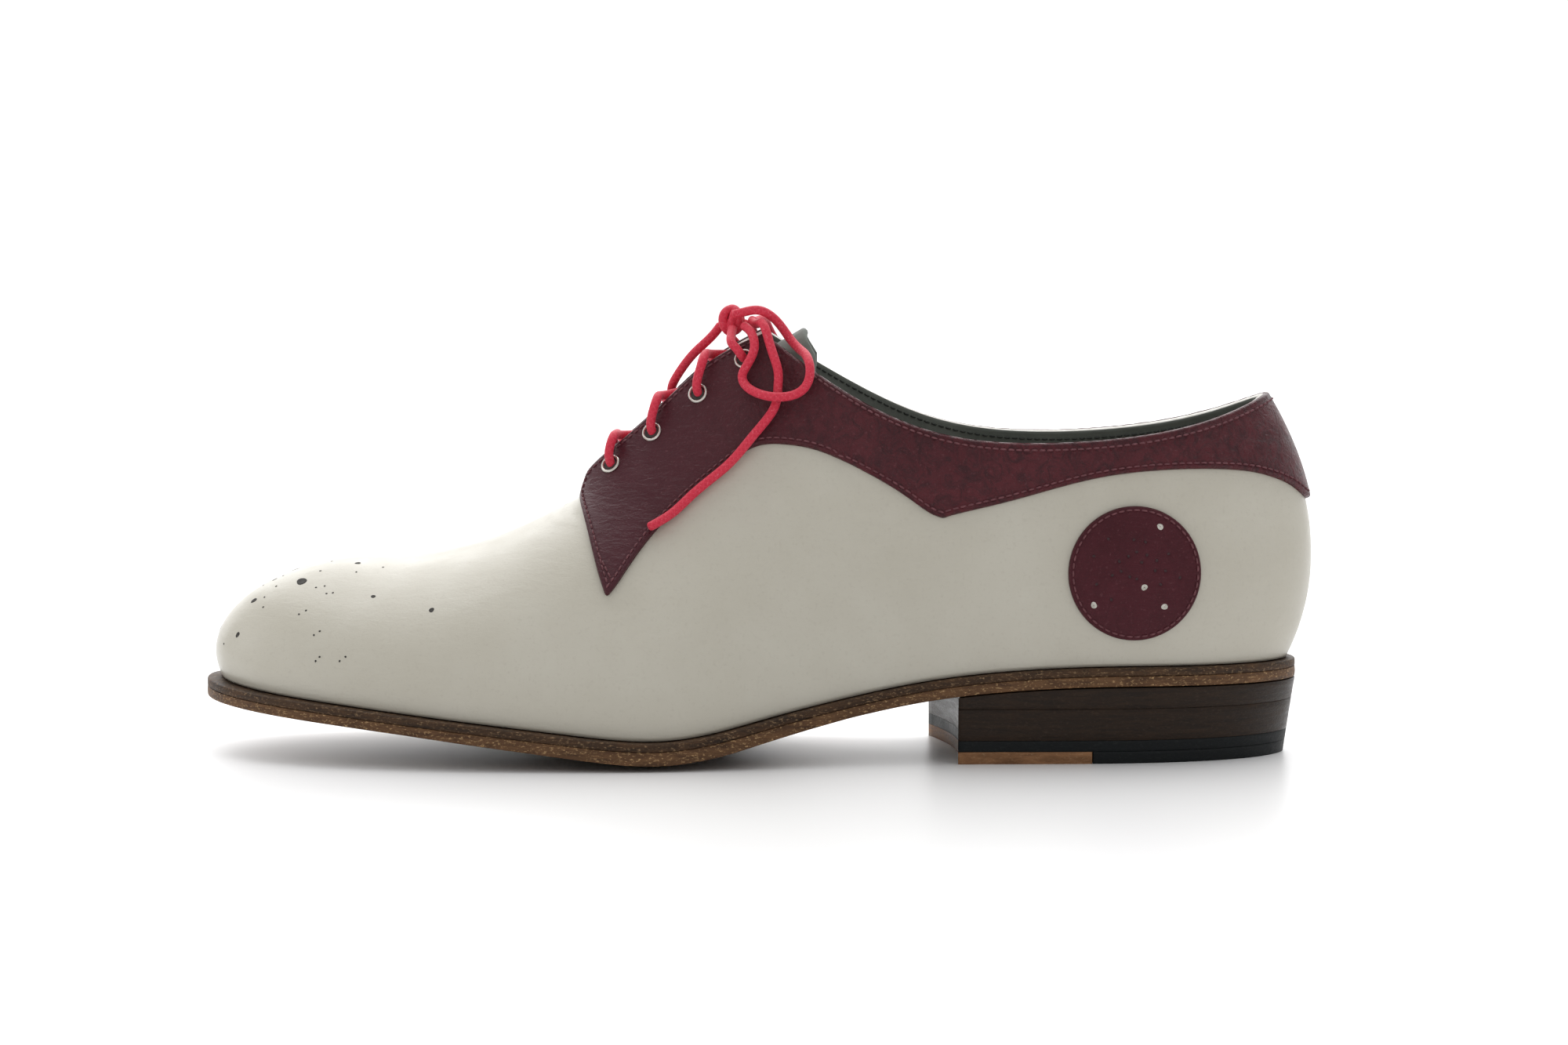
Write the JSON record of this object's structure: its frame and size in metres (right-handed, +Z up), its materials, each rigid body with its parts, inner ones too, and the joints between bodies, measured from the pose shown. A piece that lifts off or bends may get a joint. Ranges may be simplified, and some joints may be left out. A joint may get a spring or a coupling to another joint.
{
  "type": "spectator shoe",
  "caption": "Left men's spectator derby with open lacing, facing and collar band in a second colour, round heel patch, welted leather sole and stacked heel.",
  "frame": {"origin": "middle of the shoe's box in plan, on the floor it stands on", "axes": "+X from toe to heel, +Y to the inner (medial) side, +Z up from the floor"},
  "size_m": [0.305, 0.1052, 0.1242],
  "materials": {
    "cream_calf": "smooth semi-gloss calf, cream",
    "burgundy_calf": "burgundy calf, slightly wrinkled on the collar",
    "lining": "matt grey green lining leather",
    "insole_leather": "matt tan insole leather",
    "dark_welt": "dark edge dressing",
    "sole_leather": "brown sole leather, polished edge",
    "stacked_leather": "dark stacked leather",
    "black_rubber": "matt black rubber",
    "tan_leather": "tan top piece leather",
    "eyelet_metal": "pale satin metal",
    "lace_cotton": "crimson waxed cotton"
  },
  "bodies": {
    "root": {"upper": "cream_calf", "facing_collar_lateral": "burgundy_calf", "facing_collar_medial": "burgundy_calf", "quarter_patch": "burgundy_calf", "tongue": "lining", "insole": "insole_leather", "welt": "dark_welt", "outsole": "sole_leather", "heel_lift_upper": "stacked_leather", "heel_lift_lower": "stacked_leather", "heel_lift_black": "black_rubber", "top_piece_leather": "tan_leather", "top_piece_rubber": "black_rubber", "eyelet_lateral_1": "eyelet_metal", "eyelet_lateral_2": "eyelet_metal", "eyelet_lateral_3": "eyelet_metal", "eyelet_lateral_4": "eyelet_metal", "eyelet_medial_1": "eyelet_metal", "eyelet_medial_2": "eyelet_metal", "eyelet_medial_3": "eyelet_metal", "eyelet_medial_4": "eyelet_metal", "lace_bar": "lace_cotton", "lace_crossing_1": "lace_cotton", "lace_crossing_2": "lace_cotton", "lace_crossing_3": "lace_cotton", "lace_crossing_4": "lace_cotton", "lace_knot": "lace_cotton", "lace_loop_lateral": "lace_cotton", "lace_end_lateral": "lace_cotton", "lace_loop_medial": "lace_cotton", "lace_end_medial": "lace_cotton"}
  },
  "joints": []
}
